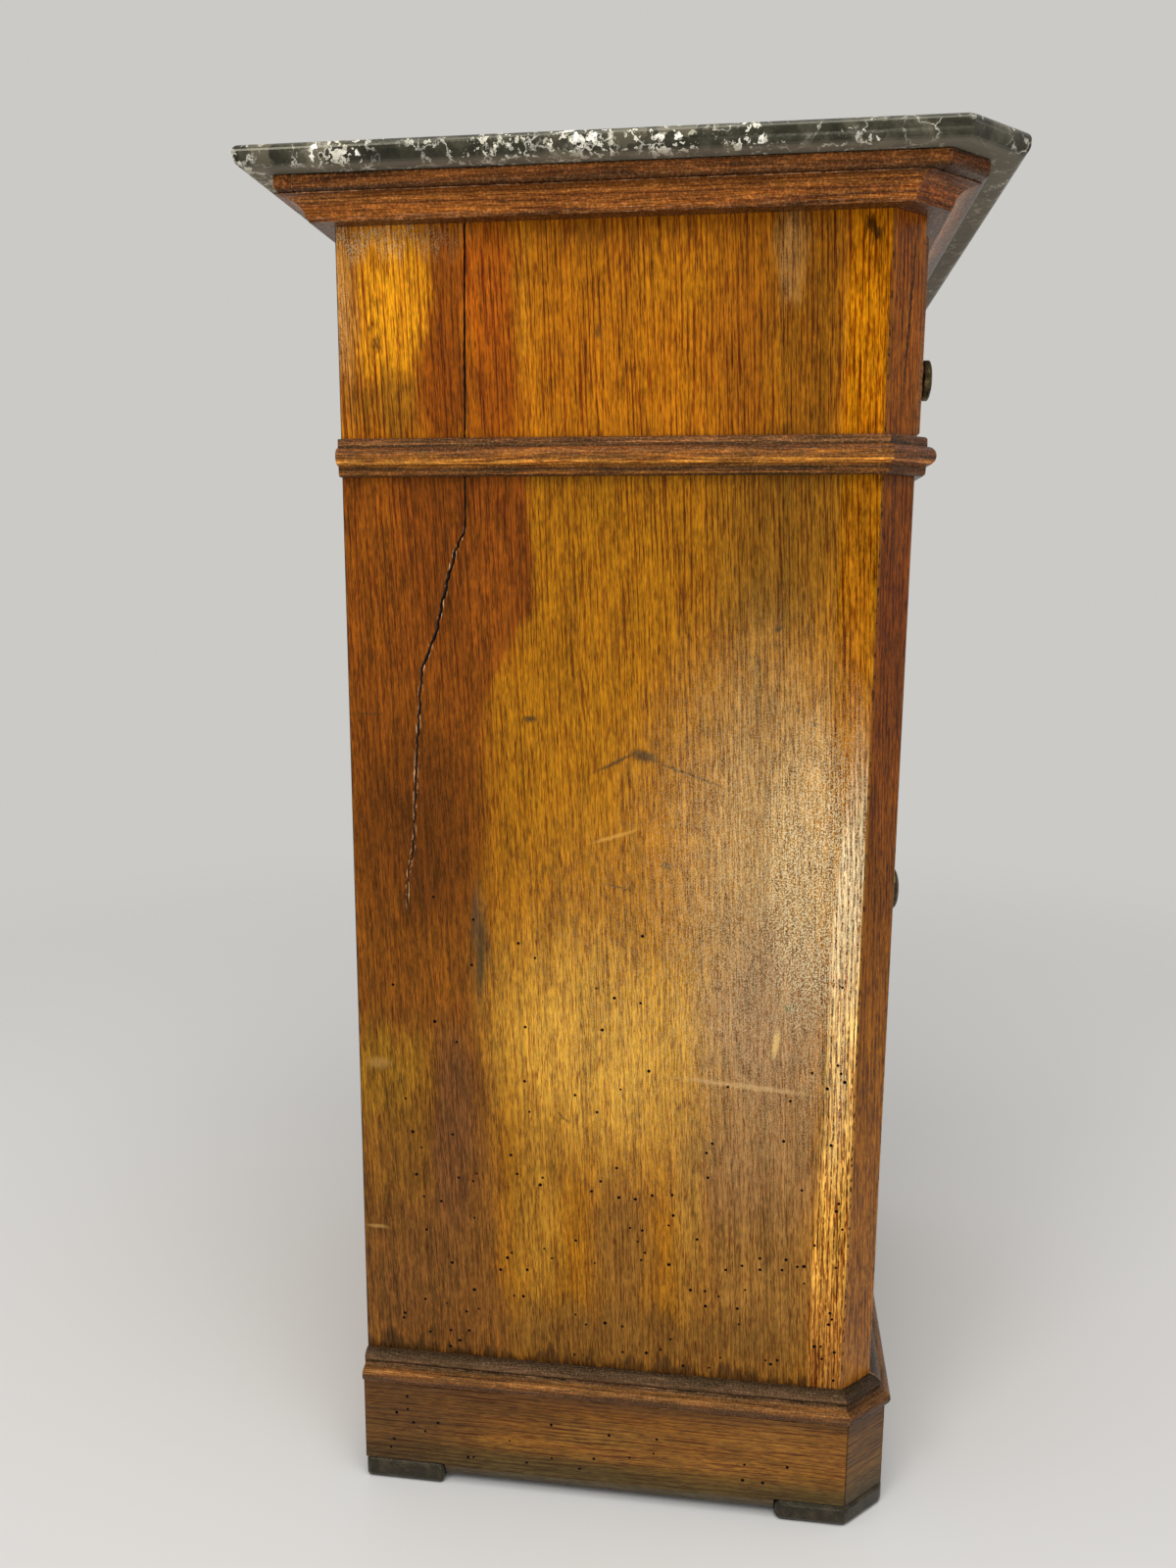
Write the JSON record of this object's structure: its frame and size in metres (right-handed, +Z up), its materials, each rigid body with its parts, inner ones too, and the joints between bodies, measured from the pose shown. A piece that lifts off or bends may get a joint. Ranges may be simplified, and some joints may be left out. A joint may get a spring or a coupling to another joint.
{
  "type": "bedside pot cupboard",
  "caption": "Tall narrow bedside cupboard with a loose marble top, canted front corners, mitred mouldings, one drawer and a pivot-hung panelled door over an inner shelf.",
  "frame": {"origin": "on the floor, under the middle of the marble top", "axes": "+Z up, -Y towards the front (drawer and door), +X towards the door's opening side"},
  "size_m": [0.477, 0.407, 0.8],
  "materials": {
    "marble": "polished, dark green-grey breccia with white patches and veins",
    "oak": "oak under aged shellac, satin to gloss",
    "moulding": "red-brown crackled varnish",
    "plinth": "dark worn varnish",
    "ebonised": "blackened, matt",
    "pine": "bare, sawn and planed",
    "bronze": "dark patinated brass, handled smooth",
    "brass": "dull brass",
    "iron": "blackened"
  },
  "bodies": {
    "carcass": {"marble_top": "marble", "top_board": "oak", "band_front": "moulding", "band_cants": "moulding", "band_side_left": "moulding", "band_side_right": "moulding", "band_back": "moulding", "cove_front": "moulding", "cove_cants": "moulding", "cove_side_left": "moulding", "cove_side_right": "moulding", "cove_back": "moulding", "waist_front": "moulding", "waist_cants": "moulding", "waist_side_left": "moulding", "waist_side_right": "moulding", "base_front": "moulding", "base_cants": "moulding", "base_side_left": "moulding", "base_side_right": "moulding", "plinth_front": "plinth", "plinth_cants": "plinth", "plinth_side_left": "plinth", "plinth_side_right": "plinth", "foot_rear_left": "ebonised", "foot_rear_right": "ebonised", "foot_front_left": "ebonised", "foot_front_right": "ebonised", "side_board_left": "oak", "side_board_right": "oak", "post_left": "oak", "post_right": "oak", "back_boards": "pine", "bottom_board": "pine", "base_rails": "pine", "divider_rail": "pine", "top_rail": "pine", "rear_rail": "pine", "drawer_runners": "pine", "drawer_guides": "pine", "kickers": "pine", "dust_board": "pine", "shelf": "pine", "shelf_cleats": "pine", "door_stops": "pine", "pivot_plates": "brass"},
    "drawer": {"drawer_front": "oak", "drawer_side_left": "pine", "drawer_side_right": "pine", "drawer_back": "pine", "drawer_bottom": "pine", "drawer_knob": "bronze", "knob_nut": "bronze"},
    "door": {"door_stile_left": "oak", "door_stile_right": "oak", "door_rails": "oak", "door_panel": "oak", "door_pivots": "brass"},
    "door_catch": {"door_knob": "bronze", "catch_bar": "iron"}
  },
  "joints": [
    {"name": "drawer_slide", "type": "slide", "parent": "carcass", "child": "drawer", "axis": [0, -1, 0], "range_m": [0, 0.22]},
    {"name": "door_hinge", "type": "hinge", "parent": "carcass", "child": "door", "pos_m": [-0.15, -0.1475, 0.36], "axis": [0, 0, -1], "range_deg": [0, 95]},
    {"name": "catch_turn", "type": "hinge", "parent": "door", "child": "door_catch", "pos_m": [0.1345, -0.1475, 0.3193], "axis": [0, 1, 0], "range_deg": [0, 90]}
  ]
}
